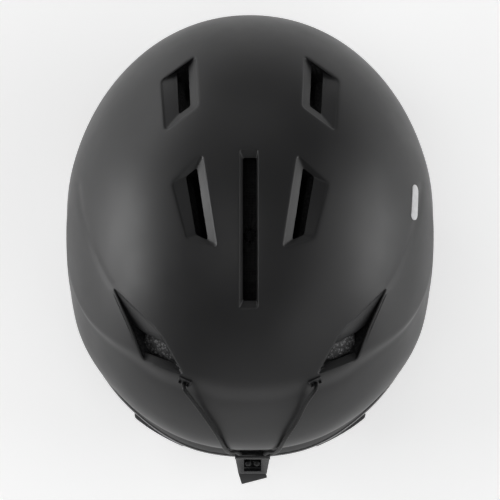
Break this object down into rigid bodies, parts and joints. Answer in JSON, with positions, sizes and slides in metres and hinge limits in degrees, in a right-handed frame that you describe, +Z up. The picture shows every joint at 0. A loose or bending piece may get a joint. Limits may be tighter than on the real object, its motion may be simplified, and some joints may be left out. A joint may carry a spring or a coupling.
{
  "type": "ski helmet",
  "caption": "Vented black hard-shell snow helmet with foam liner, soft ear pads, dial fit ring, buckled chin strap and elastic goggle retainer.",
  "frame": {"origin": "on the surface that the helmet stands on, under the middle of its overall length and width", "axes": "+Z up to the crown, -Y to the brow, +X to the wearer's left"},
  "size_m": [0.23, 0.2943, 0.1899],
  "materials": {
    "shell": "matte black soft-touch polycarbonate",
    "eps": "dark grey expanded polystyrene foam beads",
    "trim": "satin black moulded edging",
    "badge": "pale grey plain inlay",
    "hard_plastic": "black moulded nylon",
    "liner_fabric": "black brushed mesh over foam",
    "hook_dots": "hook-and-loop",
    "steel": "plain steel",
    "dial_rubber": "black rubberised dial",
    "band_plastic": "flexible black nylon",
    "webbing": "black woven polyester webbing",
    "fleece": "charcoal fleece",
    "button": "red button",
    "cord": "black braided elastic cord",
    "clip_plastic": "black moulded clip",
    "pull_rubber": "black rubber pull tab",
    "ear_fabric": "black stretch fabric over foam",
    "nape_fabric": "grey brushed fabric over foam"
  },
  "bodies": {
    "helmet": {"outer_shell": "shell", "eps_liner": "eps", "rim_trim": "trim", "side_badge": "badge", "cord_eyelets": "hard_plastic", "brow_pad": "liner_fabric", "rear_pad": "liner_fabric", "crown_pad_left": "liner_fabric", "crown_pad_right": "liner_fabric", "side_pad_left": "liner_fabric", "side_pad_right": "liner_fabric", "pad_dots": "hook_dots", "ear_pad_snaps": "hard_plastic", "strap_anchors": "hard_plastic", "fit_housing": "hard_plastic", "fit_cover": "hard_plastic", "fit_click_ring": "hard_plastic", "cradle_strap": "band_plastic", "occiput_pads": "liner_fabric", "retainer_cord_left": "cord", "retainer_cord_right": "cord", "ear_pad_left": "ear_fabric", "ear_fleece_left": "fleece", "nape_pad_left": "nape_fabric", "temple_guide_left": "hard_plastic", "strap_front_leg_left": "webbing", "strap_rear_leg_left": "webbing", "strap_divider_left": "hard_plastic", "strap_rivet_left": "steel", "ear_pad_right": "ear_fabric", "ear_fleece_right": "fleece", "nape_pad_right": "nape_fabric", "temple_guide_right": "hard_plastic", "strap_front_leg_right": "webbing", "strap_rear_leg_right": "webbing", "strap_divider_right": "hard_plastic", "strap_rivet_right": "steel"},
    "chin_strap": {"chin_strap_long": "webbing", "chin_strap_short": "webbing", "chin_pad": "fleece", "buckle_body": "hard_plastic", "buckle_tongue": "hard_plastic", "buckle_spring": "steel"},
    "buckle_release": {"buckle_button": "button"},
    "dial": {"fit_dial": "dial_rubber", "fit_screw": "steel"},
    "band_left": {"fit_band_left": "band_plastic"},
    "band_right": {"fit_band_right": "band_plastic"},
    "goggle_clip": {"retainer_clip": "clip_plastic", "retainer_pull_tab": "pull_rubber", "cord_knots": "cord"}
  },
  "joints": [
    {"name": "chin_strap_swing", "type": "hinge", "parent": "helmet", "child": "chin_strap", "pos_m": [0, -0.0049, 0.0135], "axis": [1, 0, 0], "range_deg": [-12, 100]},
    {"name": "buckle_press", "type": "slide", "parent": "chin_strap", "child": "buckle_release", "axis": [-0.8858, 0.464, 0], "range_m": [0, 0.002], "stiffness_N_per_m": 600, "springref_m": -0.002, "deforming": ["buckle_spring"]},
    {"name": "dial_turn", "type": "hinge", "parent": "helmet", "child": "dial", "pos_m": [0, 0.0109, 0.0494], "axis": [0, -0.9397, 0.342], "range_deg": [0, 270]},
    {"name": "band_left_pull", "type": "hinge", "parent": "helmet", "child": "band_left", "pos_m": [0, 0.0109, 0.0494], "axis": [0, 0.342, 0.9397], "range_deg": [0, 18]},
    {"name": "band_right_pull", "type": "hinge", "parent": "helmet", "child": "band_right", "pos_m": [0, 0.0109, 0.0494], "axis": [0, 0.342, 0.9397], "range_deg": [-18, 0]},
    {"name": "clip_swing", "type": "hinge", "parent": "helmet", "child": "goggle_clip", "pos_m": [-0.0016, 0.1273, 0.0602], "axis": [1, 0, 0], "range_deg": [0, 50]}
  ],
  "couplings": [
    {"joint": "band_left_pull", "follows": "dial_turn", "ratio": 0.063052},
    {"joint": "band_right_pull", "follows": "dial_turn", "ratio": -0.06135}
  ]
}
